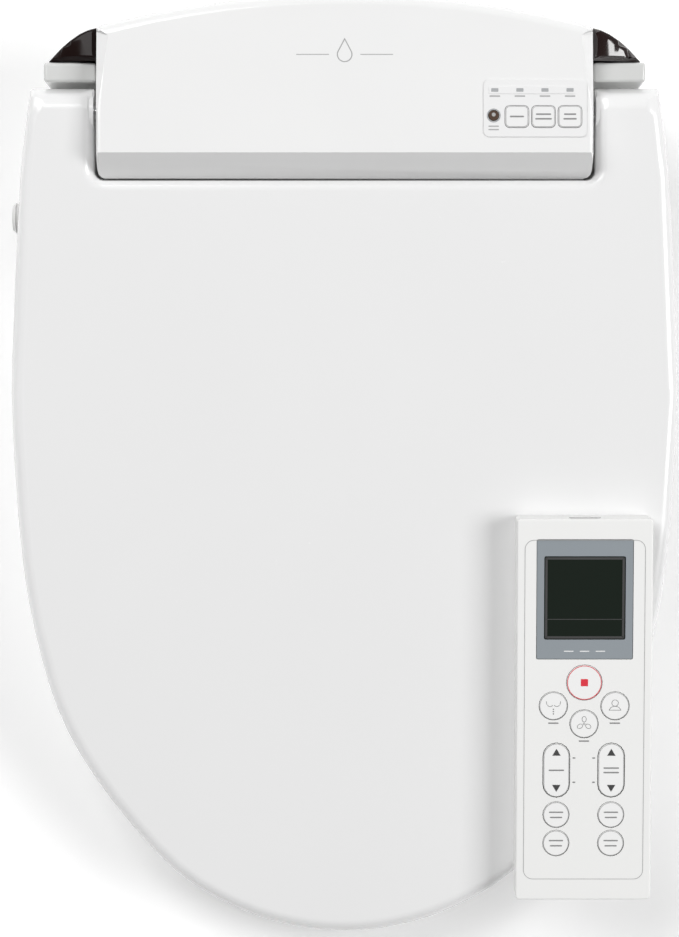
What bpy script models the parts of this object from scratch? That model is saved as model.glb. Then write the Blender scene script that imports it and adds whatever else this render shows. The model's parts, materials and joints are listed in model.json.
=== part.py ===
"""Electric bidet seat with its remote control, as an assembly of separate pieces.

Metres, +Z up. The origin is midway between the two bolt slots, on the underside of the
mounting plate, which is the plane of the toilet's rim. The seat's front faces -Y.
"""
import math

import bmesh
import bpy
from mathutils import Matrix, Vector, geometry

MM = 0.001
GAP = 0.3 * MM              # clearance between neighbouring pieces

# Driving dimensions of the seat, lid and housing.
HINGE_Z = 92 * MM           # height of the hinge line, which runs along X at y = 0
FRONT_Y = -471 * MM         # front tip of the lid
HOUSING_HALF = 139.8 * MM   # half width of the housing between the lid's arms
HOUSING_FRONT = -38 * MM
HOUSING_SIDE_REAR = 46.4 * MM
HOUSING_REAR = 64.7 * MM
HOUSING_TOP = 117.5 * MM
FACE_FOOT = 96.5 * MM       # lower edge of the sloping front face
FACE_DEPTH = 12.8 * MM      # depth of the sloping front face, seen from above
PARTING_Z = 60 * MM         # joint between the base and the top cover
BASE_HALF = 171 * MM
SHOULDER_FRONT = 16.5 * MM
SHOULDER_REAR = 27.6 * MM
SHOULDER_TOP = 100 * MM
DECK_FRONT = -76 * MM       # low part of the base, under the rear of the seat
DECK_TOP = 37 * MM
BARREL = 13.5 * MM          # outer radius of the lid's arm about the hinge line
ARM_INNER = 142 * MM
ARM_OUTER = 178.6 * MM
NOTCH_FRONT = -38.6 * MM
LID_SKIN = 2.6 * MM
LID_EDGE = 7 * MM           # radius of the lid's upper edge
LID_TIP_TOP = 62 * MM
PIN_RADIUS = 5 * MM
PLATE_HALF = (92 * MM, 27 * MM)
PLATE_THICK = 5 * MM
BOLT_SPACING = 140 * MM

# The lid's right-hand edge from the arm to the tip: half width and y.
LID_EDGE_POINTS = [(178.6, 8), (184.2, -37), (189.2, -125), (190, -178), (184.8, -257),
                   (174.5, -312), (160.2, -353.5), (134.4, -394.8), (98, -435.5),
                   (62, -457.5), (30, -467.8), (0, -471)]

SEAT_SPLIT_DROP = 14 * MM   # parting line of the two seat shells, below the seat's top
TUNNEL_HALF = 60 * MM       # half width of the way under the rear of the seat

# Nozzles run down and forwards inside the base.
NOZZLE_TILT = math.radians(15)
NOZZLE_RADIUS = 6.2 * MM
NOZZLE_LENGTH = 104 * MM
NOZZLE_X = 8.5 * MM
NOZZLE_TIP = (-70 * MM, 17 * MM)
PINION_RADIUS = 6 * MM

# Water inlet on the left of the base and cord gland on the right.
INLET_Y, INLET_Z = -54.4 * MM, 21 * MM
INLET_END = -196 * MM
GLAND_Y, GLAND_Z = -20 * MM, 20 * MM

# Control panel on the housing.
PANEL_CENTRE = (107 * MM, -0.5 * MM)
PANEL_SIZE = (58 * MM, 32 * MM)
BUTTON_SIZE = (13.2 * MM, 12.2 * MM)
BUTTON_X = (96.6 * MM, 111.5 * MM, 126.4 * MM)
BUTTON_Y = -5.2 * MM
LAMP_X = (84.2 * MM, 97.6 * MM, 112 * MM, 126.4 * MM)
LAMP_Y = 9.7 * MM
SENSOR_CENTRE = (83.6 * MM, -4.6 * MM)

# Remote control, in its own frame: x across, y along, z up from its back.
REMOTE_CENTRE = (136.1 * MM, -338.1 * MM)
REMOTE_SIZE = (77 * MM, 219 * MM, 21 * MM)
REMOTE_SPLIT = 9.8 * MM
REMOTE_WALL = 2 * MM
KEY_PROUD = 0.5 * MM
KEY_BOTTOM = 15.6 * MM
ROUND_KEYS = {"stop": (0, 16, 10.1), "rear_wash": (-17.5, 2.6, 8.05), "front_wash": (17.5, 2.6, 8.05),
              "dry": (0, -7.7, 8.05), "wash_dry": (-15.6, -60.1, 7.4), "seat_temp": (15.6, -60.1, 7.4),
              "easy_wash": (-15.6, -76.5, 7.4), "water_temp": (15.6, -76.5, 7.4)}
ROCKERS = {"nozzle": (-15.6, -34.4), "water_dry": (15.6, -34.4)}
ROCKER_SIZE = (14.8 * MM, 30.9 * MM)
BEZEL = (0, 63.5 * MM, 54.4 * MM, 68 * MM)
DISPLAY = (0, 64.3 * MM, 45.6 * MM, 47 * MM)


# Materials --------------------------------------------------------------------------------

def material(name, colour, roughness=0.4, metallic=0.0):
    """Return a plain Principled material, made once."""
    found = bpy.data.materials.get(name)
    if found:
        return found
    made = bpy.data.materials.new(name)
    made.use_nodes = True
    shader = made.node_tree.nodes["Principled BSDF"]
    shader.inputs["Base Color"].default_value = (*colour, 1)
    shader.inputs["Roughness"].default_value = roughness
    shader.inputs["Metallic"].default_value = metallic
    return made


def white_gloss():
    """Polished white case plastic."""
    return material("white_gloss", (0.86, 0.86, 0.855), 0.18)


def white_matte():
    """Satin white plastic."""
    return material("white_matte", (0.8, 0.8, 0.79), 0.45)


def grey_plastic():
    """Satin grey plastic."""
    return material("grey_plastic", (0.3, 0.33, 0.36), 0.4)


def dark_plastic():
    """Near-black plastic."""
    return material("dark_plastic", (0.03, 0.03, 0.035), 0.5)


def smoked():
    """Smoked brown lens plastic."""
    return material("smoked_brown", (0.035, 0.008, 0.006), 0.08)


def steel():
    """Satin stainless steel."""
    return material("steel", (0.6, 0.6, 0.6), 0.3, 1.0)


def rubber():
    """Pale bumper rubber."""
    return material("rubber", (0.12, 0.12, 0.12), 0.8)


def green_board():
    """Circuit board laminate."""
    return material("green_board", (0.02, 0.16, 0.06), 0.5)


# Objects and outlines -----------------------------------------------------------------------

def make_object(name, bm, look, parent=None, smooth=True):
    """Turn a bmesh into a named object with one material."""
    bmesh.ops.recalc_face_normals(bm, faces=bm.faces)
    mesh = bpy.data.meshes.new(name)
    bm.to_mesh(mesh)
    bm.free()
    made = bpy.data.objects.new(name, mesh)
    mesh.materials.append(look)
    bpy.context.scene.collection.objects.link(made)
    if smooth:
        mesh.shade_smooth()
        mesh.set_sharp_from_angle(angle=math.radians(35))
    made.parent = parent
    return made


def empty(name, location, tilt_x=0.0, parent=None):
    """Add an empty that carries a moving group on its joint's axis."""
    made = bpy.data.objects.new(name, None)
    made.location = location
    made.rotation_euler = (tilt_x, 0, 0)
    made.parent = parent
    bpy.context.scene.collection.objects.link(made)
    return made


def arc(centre, radius, start, end, steps):
    """Points along an arc, both ends included; angles in degrees."""
    angles = [math.radians(start + (end - start) * i / steps) for i in range(steps + 1)]
    return [(centre[0] + radius * math.cos(a), centre[1] + radius * math.sin(a)) for a in angles]


def rounded_rectangle(centre, size, radius, steps=3):
    """Closed outline of a rectangle with round corners."""
    x, y = size[0] / 2 - radius, size[1] / 2 - radius
    corners = [(x, y, 0), (-x, y, 90), (-x, -y, 180), (x, -y, 270)]
    outline = []
    for cx, cy, start in corners:
        outline += arc((centre[0] + cx, centre[1] + cy), radius, start, start + 90, steps)
    return outline


def circle(centre, radius, steps=24):
    """Points of a circle, counter-clockwise."""
    return arc(centre, radius, 0, 360, steps)[:-1]


def smooth_curve(points, steps):
    """Catmull-Rom curve through the points, with the given steps in each stretch."""
    ends = [points[0]] + points + [(-points[-2][0], points[-2][1])]
    curve = []
    for i in range(1, len(ends) - 2):
        a, b, c, d = (Vector(p) for p in ends[i - 1:i + 3])
        for step in range(steps):
            t = step / steps
            curve.append(tuple(0.5 * (2 * b + (c - a) * t + (2 * a - 5 * b + 4 * c - d) * t * t
                                      + (3 * b - a - 3 * c + d) * t ** 3)))
    return curve + [tuple(points[-1])]


def mirrored(half):
    """Close a right-hand half outline, which starts and ends near x = 0, with its mirror."""
    left = [(-x, y) for x, y in reversed(half) if x > 1e-6]
    return half + left


def nearest_on(point, loops):
    """Closest point to the given one on any of the closed loops."""
    px, py = point
    best, found = 1e9, point
    for loop in loops:
        for (ax, ay), (bx, by) in zip(loop, loop[1:] + loop[:1]):
            dx, dy = bx - ax, by - ay
            t = max(0.0, min(1.0, ((px - ax) * dx + (py - ay) * dy) / (dx * dx + dy * dy)))
            near = (ax + t * dx, ay + t * dy)
            reach = (px - near[0]) ** 2 + (py - near[1]) ** 2
            if reach < best:
                best, found = reach, near
    return found


def distance_to(point, loops):
    """Shortest distance from a point to any of the closed loops."""
    return math.dist(point, nearest_on(point, loops))


def inside(point, loops):
    """Even-odd test of a point against the closed loops."""
    px, py = point
    odd = False
    for loop in loops:
        for (ax, ay), (bx, by) in zip(loop, loop[1:] + loop[:1]):
            if (ay > py) != (by > py) and px < (bx - ax) * (py - ay) / (by - ay) + ax:
                odd = not odd
    return odd


def inset_points(loops, inset):
    """Points at the given distance inside the region that the loops bound."""
    found = {}
    for loop in loops:
        for before, here, after in zip(loop[-1:] + loop[:-1], loop, loop[1:] + loop[:1]):
            along = Vector((after[0] - before[0], after[1] - before[1])).normalized()
            for side in (1, -1):
                point = Vector((here[0] - along.y * inset * side, here[1] + along.x * inset * side))
                if not inside(point, loops):
                    continue
                for _ in range(12):
                    near = Vector(nearest_on(point, loops))
                    if (point - near).length < inset:
                        point = near + (point - near).normalized() * inset
                if inside(point, loops) and distance_to(point, loops) > inset * 0.98:
                    found[(round(point.x / (0.1 * MM)), round(point.y / (0.1 * MM)))] = tuple(point)
    return list(found.values())


def skin(bm, loops, insets, extra, height):
    """Fill the region with triangles at height(x, y, distance); return the edge loops' verts."""
    flat = [p for loop in loops for p in loop]
    edges, first = [], 0
    for loop in loops:
        edges += [(first + i, first + (i + 1) % len(loop)) for i in range(len(loop))]
        first += len(loop)
    for inset in insets:
        flat = flat + inset_points(loops, inset)
    flat = flat + [p for p in extra if inside(p, loops)]
    coords, _, faces, sources, _, _ = geometry.delaunay_2d_cdt(
        [Vector(p) for p in flat], edges, [], 0, 1e-7, True)
    placed = {}
    for index, co in enumerate(coords):
        away = 0.0 if min(sources[index] or [first]) < first else distance_to(co, loops)
        placed[index] = bm.verts.new((co.x, co.y, height(co.x, co.y, away)))
    for face in faces:
        middle = sum((coords[i] for i in face), Vector((0, 0))) / 3
        if inside(middle, loops):
            bm.faces.new([placed[i] for i in face])
    rim = {source: placed[i] for i, group in enumerate(sources) for source in group if source < first}
    return rim, edges


def region_solid(name, loops, top, bottom, look, top_insets=(), bottom_insets=(),
                 top_points=(), bottom_points=(), parent=None):
    """Closed solid between two height functions over the region that the loops bound."""
    bm = bmesh.new()
    upper, edges = skin(bm, loops, top_insets, top_points, top)
    lower, _ = skin(bm, loops, bottom_insets, bottom_points, bottom)
    for a, b in edges:
        bm.faces.new([upper[a], upper[b], lower[b], lower[a]])
    loose = [v for v in bm.verts if not v.link_faces]
    bmesh.ops.delete(bm, geom=loose, context='VERTS')
    return make_object(name, bm, look, parent)


def prism(name, outline, z_low, z_high, look, bevel=0.0, steps=2, parent=None):
    """Straight prism on a closed outline, with its upper edge rounded by bevel."""
    bm = bmesh.new()
    face = bm.faces.new([bm.verts.new((x, y, z_low)) for x, y in outline])
    grown = bmesh.ops.extrude_face_region(bm, geom=[face])
    tops = [v for v in grown["geom"] if isinstance(v, bmesh.types.BMVert)]
    for vert in tops:
        vert.co.z = z_high
    if bevel:
        rim = [e for e in bm.edges if all(v in tops for v in e.verts)]
        bmesh.ops.bevel(bm, geom=rim, offset=bevel, segments=steps, profile=0.5, affect='EDGES')
    return make_object(name, bm, look, parent)


def turned(name, profile, axis, origin, look, steps=24, parent=None):
    """Closed solid of revolution: profile is (distance along, radius) from end to end."""
    bm = bmesh.new()
    rings = []
    for along, radius in profile:
        rings.append([bm.verts.new((radius * math.cos(2 * math.pi * i / steps),
                                    radius * math.sin(2 * math.pi * i / steps), along))
                      for i in range(steps)])
    for low, high in zip(rings, rings[1:]):
        for i in range(steps):
            j = (i + 1) % steps
            bm.faces.new([low[i], low[j], high[j], high[i]])
    bm.faces.new(rings[0])
    bm.faces.new(rings[-1])
    turn = Vector((0, 0, 1)).rotation_difference(Vector(axis)).to_matrix().to_4x4()
    bm.transform(Matrix.Translation(origin) @ turn)
    return make_object(name, bm, look, parent)


def box(name, low, high, look, bevel=0.0, steps=2, parent=None):
    """Box between two corners, with every edge rounded by bevel."""
    bm = bmesh.new()
    bmesh.ops.create_cube(bm, size=1)
    for vert in bm.verts:
        vert.co = [(low[i] if vert.co[i] < 0 else high[i]) for i in range(3)]
    if bevel:
        bmesh.ops.bevel(bm, geom=bm.edges[:], offset=bevel, segments=steps, profile=0.5,
                        affect='EDGES')
    return make_object(name, bm, look, parent)


def combine(target, other, operation):
    """Boolean another object into the target and hide the other one as a cutter."""
    other.hide_render = True
    other.display_type = 'WIRE'
    modifier = target.modifiers.new(operation.lower() + "_" + other.name, 'BOOLEAN')
    modifier.operation = operation
    modifier.solver = 'EXACT'
    modifier.object = other
    return target


def cut(target, other):
    """Subtract other from target."""
    return combine(target, other, 'DIFFERENCE')


def join(target, other):
    """Fuse other into target."""
    return combine(target, other, 'UNION')


def rounding(distance, radius, depth=None):
    """Drop below the top at a distance from the edge, for an elliptic edge."""
    depth = radius if depth is None else depth
    if distance >= radius:
        return 0.0
    return depth * (1 - math.sqrt(max(0.0, 1 - (1 - distance / radius) ** 2)))


def edge_insets(radius, steps=4):
    """Distances from the edge that share out the turn of a rounded edge."""
    return [radius * (1 - math.cos(math.pi / 2 * i / steps)) for i in range(1, steps + 1)]


# Lid ----------------------------------------------------------------------------------------

def lid_top(y):
    """Height of the lid's upper plane."""
    start = HINGE_Z + BARREL
    return start + (LID_TIP_TOP - start) * min(0.0, y) / FRONT_Y


def seat_top(y):
    """Height of the seat's upper plane."""
    return 68 * MM + (42 - 68) * MM * (y + 42 * MM) / (FRONT_Y + 42 * MM)


def lid_rim(y):
    """Height of the lid's lower edge: it rises to the hinge line on the arms."""
    if y > -2 * MM:
        return HINGE_Z
    low = seat_top(y) - 3 * MM
    return low + (HINGE_Z - low) * max(0.0, 1 + (y + 2 * MM) / (24 * MM))


def lid_outline():
    """Plan of the lid, with its two arms and the notch round the housing."""
    edge = smooth_curve([(x * MM, y * MM) for x, y in LID_EDGE_POINTS], 3)
    arm_corner = arc((ARM_OUTER - 3 * MM, BARREL - 3 * MM), 3 * MM, 90, 20, 2)
    inner_corner = arc((ARM_INNER + 2 * MM, BARREL - 2 * MM), 2 * MM, 180, 90, 2)
    notch = arc((ARM_INNER - 5 * MM, NOTCH_FRONT + 5 * MM), 5 * MM, 270, 360, 4)
    arm_side = [(ARM_INNER, y * MM) for y in (-12, 0, 8)]
    return mirrored([(40 * MM, NOTCH_FRONT)] + notch + arm_side + inner_corner + arm_corner + edge)


def lid_surface(x, y, away):
    """Upper surface of the lid: a plane with a round edge, and a barrel round the hinge line."""
    plane = lid_top(y) - rounding(away, LID_EDGE)
    if y <= 0:
        return plane
    return min(plane, HINGE_Z + math.sqrt(max(0.0, BARREL ** 2 - y ** 2)))


def lid_underside(x, y, away):
    """Lower surface: the rim of the skirt, then the hollow inside it."""
    if away < LID_SKIN + 0.1 * MM:
        return min(lid_rim(y), lid_surface(x, y, away) - 0.4 * MM)
    if y <= 0:
        return lid_top(y) - LID_SKIN - rounding(away, LID_EDGE)
    return HINGE_Z + math.sqrt(max(0.0, (BARREL - LID_SKIN) ** 2 - y ** 2))


def lid_shell(parent):
    """Hollow lid with the arms that ride on the hinge pins."""
    bands = [(x * side * MM, y * MM) for side in (-1, 1) for x in (150, 170) for y in (0, 4, 8, 10.5)]
    shell = region_solid("lid_shell", [lid_outline()], lid_surface, lid_underside, white_gloss(),
                         edge_insets(LID_EDGE, 3), (LID_SKIN, LID_SKIN + 0.4 * MM, LID_EDGE),
                         bands, bands, parent)
    for side in (-1, 1):
        for label, low, high in (("wall", 142.3, 144.6), ("boss", 157, 170)):
            disc = turned(f"lid_{label}_tool_{side + 1}", [(0, 12.4 * MM), ((high - low) * MM, 12.4 * MM)],
                          (side, 0, 0), (side * low * MM, 0, HINGE_Z), white_gloss(), 20)
            join(shell, disc)
        bore = turned(f"lid_bore_tool_{side + 1}", [(0, PIN_RADIUS + GAP), (40 * MM, PIN_RADIUS + GAP)],
                      (side, 0, 0), (side * 138 * MM, 0, HINGE_Z), white_gloss(), 16)
        cut(shell, bore)
    return shell


def lid_bumpers(parent):
    """Two rubber pads under the lid that land on the seat."""
    for name, side in (("lid_bumper_left", -1), ("lid_bumper_right", 1)):
        y = -300 * MM
        low = seat_top(y) - 0.4 * MM
        prism(name, circle((side * 138 * MM, y), 6 * MM, 16), low + GAP + 1 * MM,
              lid_top(y) - LID_SKIN - 1.2 * MM, rubber(), 1 * MM, parent=parent)


# Seat ---------------------------------------------------------------------------------------

def seat_outline():
    """Outer plan of the seat: the lid's edge, drawn in, with a straight rear edge."""
    edge = smooth_curve([(x * MM, y * MM) for x, y in LID_EDGE_POINTS], 3)
    drawn = [(x - 4 * MM * x / (x + 40 * MM), y + 4 * MM * y / FRONT_Y) for x, y in edge
             if y < -56 * MM]
    corner = arc((172 * MM, -56 * MM), 12 * MM, 90, 10, 4)
    return mirrored([(60 * MM, -44 * MM), (146.6 * MM, -44 * MM), (155.6 * MM, -44 * MM)] + corner + drawn)


def seat_hole():
    """Plan of the opening: an oval, fuller at the rear."""
    points = [(0, -108), (52, -113), (92, -140), (110, -190), (112, -240), (98, -310), (62, -368),
              (0, -394)]
    half = smooth_curve([(x * MM, y * MM) for x, y in points], 2)
    half[0] = (0.0, half[0][1])
    return [(-x, y) for x, y in reversed(half) if x > 1e-6] + half


def seat_surface(x, y, away):
    """Upper surface of the seat, dropping to its outer and inner edges."""
    return seat_top(y) - rounding(away, 18 * MM, 9 * MM)


def seat_floor(y):
    """Underside of the seat, raised over the deck of the base."""
    return 8 * MM if y < -81 * MM else 40 * MM


def seat_upper(parent):
    """Upper seat shell with its two hinge ears."""
    loops = [seat_outline(), seat_hole()]

    def under(x, y, away):
        if away < 3.1 * MM:
            return seat_top(y) - SEAT_SPLIT_DROP
        return seat_surface(x, y, away) - 3 * MM
    bridge = [(x * MM, y * MM) for x in (-105, -60, -20, 20, 60, 105) for y in (-60, -86)]
    shell = region_solid("seat_upper_shell", loops, seat_surface, under, white_gloss(),
                         edge_insets(18 * MM, 3), (3 * MM, 3.5 * MM, 12 * MM), bridge, bridge, parent)
    for side in (-1, 1):
        join(shell, seat_ear(side))
        bore = turned(f"ear_bore_tool_{side + 1}", [(0, PIN_RADIUS + GAP), (40 * MM, PIN_RADIUS + GAP)],
                      (side, 0, 0), (side * 138 * MM, 0, HINGE_Z), white_gloss(), 16)
        cut(shell, bore)
    return shell


def seat_ear(side):
    """Arm that carries the seat on the hinge pin, drawn in the YZ plane."""
    ring = [(y * MM, HINGE_Z + z * MM) for y, z in arc((0, 0), 8.8, -70, 130, 8)]
    foot = [(-50 * MM, 66 * MM), (-50 * MM, 57 * MM), (-44.6 * MM, 57 * MM)]
    bm = bmesh.new()
    near, far = side * 146.6 * MM, side * 155.6 * MM
    face = bm.faces.new([bm.verts.new((near, y, z)) for y, z in ring + foot])
    grown = bmesh.ops.extrude_face_region(bm, geom=[face])
    for item in grown["geom"]:
        if isinstance(item, bmesh.types.BMVert):
            item.co.x = far
    return make_object(f"ear_tool_{side + 1}", bm, white_gloss())


def seat_lower(parent):
    """Lower seat shell, with a tunnel over the path of the nozzles and the warm air."""
    loops = [seat_outline(), seat_hole()]

    def top(x, y, away):
        if away < 3.1 * MM:
            return seat_top(y) - SEAT_SPLIT_DROP - GAP
        return seat_floor(y) + 3 * MM

    def under(x, y, away):
        return seat_floor(y) + rounding(away, 4 * MM)
    steps = [(x * MM, y * MM) for y in (-80.8, -81.2) for x in range(-176, 177, 16)]
    shell = region_solid("seat_lower_shell", loops, top, under, white_matte(),
                         (3 * MM, 3.6 * MM), (1.2 * MM, 4 * MM), steps, steps, parent)
    half = TUNNEL_HALF
    join(shell,
         box("tunnel_roof_tool", (-half - 2 * MM, -107 * MM, 9 * MM), (half + 2 * MM, -82 * MM, 43 * MM),
                    white_matte()))
    return cut(shell,
               box("tunnel_tool", (-half, -130 * MM, -5 * MM), (half, -70 * MM, 40 * MM), white_matte()))


def seat_heater(parent):
    """Heating foil under the sitting surface: a flat ring that follows the top."""
    outer = [(x * 0.9, -225 * MM + (y + 225 * MM) * 0.86) for x, y in seat_outline()]
    outer = [(x, min(y, -66 * MM)) for x, y in outer if y < -60 * MM]
    inner = [(x * 1.2, -235 * MM + (y + 235 * MM) * 1.12) for x, y in seat_hole()]

    def sheet(drop):
        return lambda x, y, away: seat_top(y) - drop
    region_solid("seat_heater", [outer, inner], sheet(5.2 * MM), sheet(6.2 * MM), steel(), parent=parent)


def seat_bumpers(parent):
    """Four rubber feet under the seat."""
    for name, x, y in (("seat_bumper_rear_left", -140, -150), ("seat_bumper_rear_right", 140, -150),
                       ("seat_bumper_front_left", -98, -375), ("seat_bumper_front_right", 98, -375)):
        prism(name, rounded_rectangle((x * MM, y * MM), (16 * MM, 30 * MM), 6 * MM), 0.0,
              8 * MM - GAP, rubber(), parent=parent)


# Base and housing ---------------------------------------------------------------------------

def housing_rear(x):
    """Rear edge of the housing: a shallow arc."""
    sag = HOUSING_REAR - HOUSING_SIDE_REAR
    radius = (HOUSING_HALF ** 2 + sag ** 2) / (2 * sag)
    return HOUSING_REAR - radius + math.sqrt(radius ** 2 - x ** 2)


def rear_arc(half, steps):
    """Points along the housing's rear arc, from the centre out to the given half width."""
    return [(half * i / steps, housing_rear(half * i / steps)) for i in range(steps + 1)]


def corner_arc(steps=5):
    """Outer edge of the smoked corner: from the housing's rear corner to the shoulder."""
    points = []
    for i in range(steps + 1):
        t = i / steps
        x = HOUSING_HALF + (BASE_HALF - 0.6 * MM - HOUSING_HALF) * t
        points.append((x, HOUSING_SIDE_REAR - 21 * MM * t ** 1.7))
    return points


def base_outline():
    """Plan of the base: housing, shoulders and the deck under the seat."""
    half = [(0.0, DECK_FRONT), (60 * MM, DECK_FRONT)]
    half += arc((BASE_HALF - 14 * MM, DECK_FRONT + 14 * MM), 14 * MM, 270, 360, 4)
    half += [(BASE_HALF, HOUSING_FRONT - 0.2 * MM), (BASE_HALF, 0.0)]
    half += list(reversed(corner_arc()))
    half += list(reversed(rear_arc(HOUSING_HALF, 6)[:-1]))
    return mirrored(half)


def base_chassis():
    """Tray of the base: floor raised over the mounting plate, low deck under the seat."""
    def wall_top(y):
        return PARTING_Z if y > HOUSING_FRONT else DECK_TOP

    def top(x, y, away):
        if away < 2.7 * MM:
            return wall_top(y) - rounding(away, 1.2 * MM)
        return 9 * MM

    def under(x, y, away):
        return 0.6 * MM if away < 4.1 * MM else 5.8 * MM
    chassis = region_solid("base_chassis", [base_outline()], top, under, white_gloss(),
                           (1.2 * MM, 2.6 * MM, 3 * MM), (4 * MM, 4.4 * MM))
    for side in (-1, 1):
        low_x, high_x = sorted((side * (HOUSING_HALF + 1.2 * MM), side * (BASE_HALF - 0.4 * MM)))
        shoulder = box(f"shoulder_tool_{side + 1}", (low_x, SHOULDER_FRONT, 56 * MM),
                       (high_x, SHOULDER_REAR, SHOULDER_TOP), white_gloss(), 1.8 * MM, 3)
        join(chassis, shoulder)
    deck = box("deck_tool", (-BASE_HALF + 1 * MM, DECK_FRONT + 1 * MM, DECK_TOP - 2.8 * MM),
               (BASE_HALF - 1 * MM, HOUSING_FRONT, DECK_TOP), white_gloss())
    join(chassis, deck)
    join(chassis, box("bulkhead_tool", (-BASE_HALF + 1 * MM, HOUSING_FRONT, DECK_TOP - 1 * MM),
                      (BASE_HALF - 1 * MM, HOUSING_FRONT + 2.6 * MM, PARTING_Z), white_gloss()))
    for side in (-1, 1):
        wing = [(side * 137 * MM, HOUSING_FRONT + 0.5 * MM),
                (side * (BASE_HALF - 1 * MM), HOUSING_FRONT + 0.5 * MM),
                (side * (BASE_HALF - 1 * MM), 25 * MM), (side * 159 * MM, 37 * MM),
                (side * 137 * MM, 45 * MM)]
        join(chassis, prism(f"wing_tool_{side + 1}", wing, PARTING_Z - 2.6 * MM, PARTING_Z, white_gloss()))
    cut(chassis,
        box("plate_way_tool", (-98 * MM, 20 * MM, -1 * MM), (98 * MM, 80 * MM, 5.7 * MM), dark_plastic()))
    cut(chassis,
        box("nozzle_way_tool", (-19 * MM, -90 * MM, 8.6 * MM), (19 * MM, -60 * MM, 30 * MM), dark_plastic()))
    cut(chassis,
        box("air_way_tool", (24 * MM, -90 * MM, 11 * MM), (56 * MM, -60 * MM, 32 * MM), dark_plastic()))
    cut(chassis,
        box("button_way_tool", (150 * MM, 1 * MM, 14 * MM), (190 * MM, 15 * MM, 26 * MM), dark_plastic()))
    cut(chassis, turned("inlet_way_tool", [(0, 7.3 * MM), (30 * MM, 7.3 * MM)], (-1, 0, 0),
                        (-155 * MM, INLET_Y, INLET_Z), dark_plastic()))
    cut(chassis, turned("gland_way_tool", [(0, 5.3 * MM), (30 * MM, 5.3 * MM)], (1, 0, 0),
                        (155 * MM, GLAND_Y, GLAND_Z), dark_plastic()))
    return chassis


def cover_face(y):
    """Height of the housing's sloping front, kept inside the swing of the lid's rear edge."""
    rise = min(1.0, max(0.0, y - HOUSING_FRONT) / FACE_DEPTH)
    return FACE_FOOT + (HOUSING_TOP - FACE_FOOT) * rise


def top_cover():
    """Upper housing shell with its sloping front face."""
    face_end = HOUSING_FRONT + FACE_DEPTH
    half = [(0.0, HOUSING_FRONT), (70 * MM, HOUSING_FRONT)]
    half += arc((HOUSING_HALF - 4 * MM, HOUSING_FRONT + 4 * MM), 4 * MM, 270, 360, 3)
    half += [(HOUSING_HALF, y) for y in (face_end - 5 * MM, face_end, 0.0)]
    half += arc((HOUSING_HALF - 4 * MM, HOUSING_SIDE_REAR - 3 * MM), 4 * MM, 0, 70, 3)
    half += list(reversed(rear_arc(HOUSING_HALF - 8 * MM, 6)))
    outline = mirrored(half[:-1] + [(0.0, HOUSING_REAR)])

    def top(x, y, away):
        rearward = min(1.0, max(0.0, (y - HOUSING_SIDE_REAR + 16 * MM) / (10 * MM)))
        return min(cover_face(y), HOUSING_TOP - rounding(away, (3 + 4 * rearward) * MM))

    def under(x, y, away):
        if away < 2.7 * MM:
            return PARTING_Z + GAP
        return top(x, y, away) - 2.6 * MM
    rows = [(x * MM, face_end) for x in range(-128, 129, 8)]
    cover = region_solid("top_cover", [outline], top, under, white_gloss(), (1.2 * MM, 3 * MM, 7 * MM),
                         (2.8 * MM, 7 * MM), rows, rows)
    for side in (-1, 1):
        cut(cover, turned(f"cover_bore_tool_{side + 1}", [(0, PIN_RADIUS + GAP), (20 * MM, PIN_RADIUS + GAP)],
                          (side, 0, 0), (side * 128 * MM, 0, HINGE_Z), dark_plastic()))
    for index, x in enumerate(BUTTON_X):
        size = (BUTTON_SIZE[0] + 0.6 * MM, BUTTON_SIZE[1] + 0.6 * MM)
        cut(cover, prism(f"button_way_tool_{index}", rounded_rectangle((x, BUTTON_Y), size, 2.8 * MM),
                         100 * MM, 125 * MM, dark_plastic()))
    cut(cover,
        prism("sensor_way_tool", circle(SENSOR_CENTRE, 3.2 * MM, 20), 100 * MM, 125 * MM, dark_plastic()))
    low, high = lamp_strip_span()
    cut(cover, box("lamp_way_tool", (low[0] - GAP, low[1] - GAP, 100 * MM),
                   (high[0] + GAP, high[1] + GAP, 125 * MM), dark_plastic()))
    return cover


def lamp_strip_span():
    """Lowest and highest plan corners of the light guide behind the indicator lamps."""
    return ((LAMP_X[0] - 2.4 * MM, LAMP_Y - 1.3 * MM), (LAMP_X[-1] + 2.4 * MM, LAMP_Y + 1.3 * MM))


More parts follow.
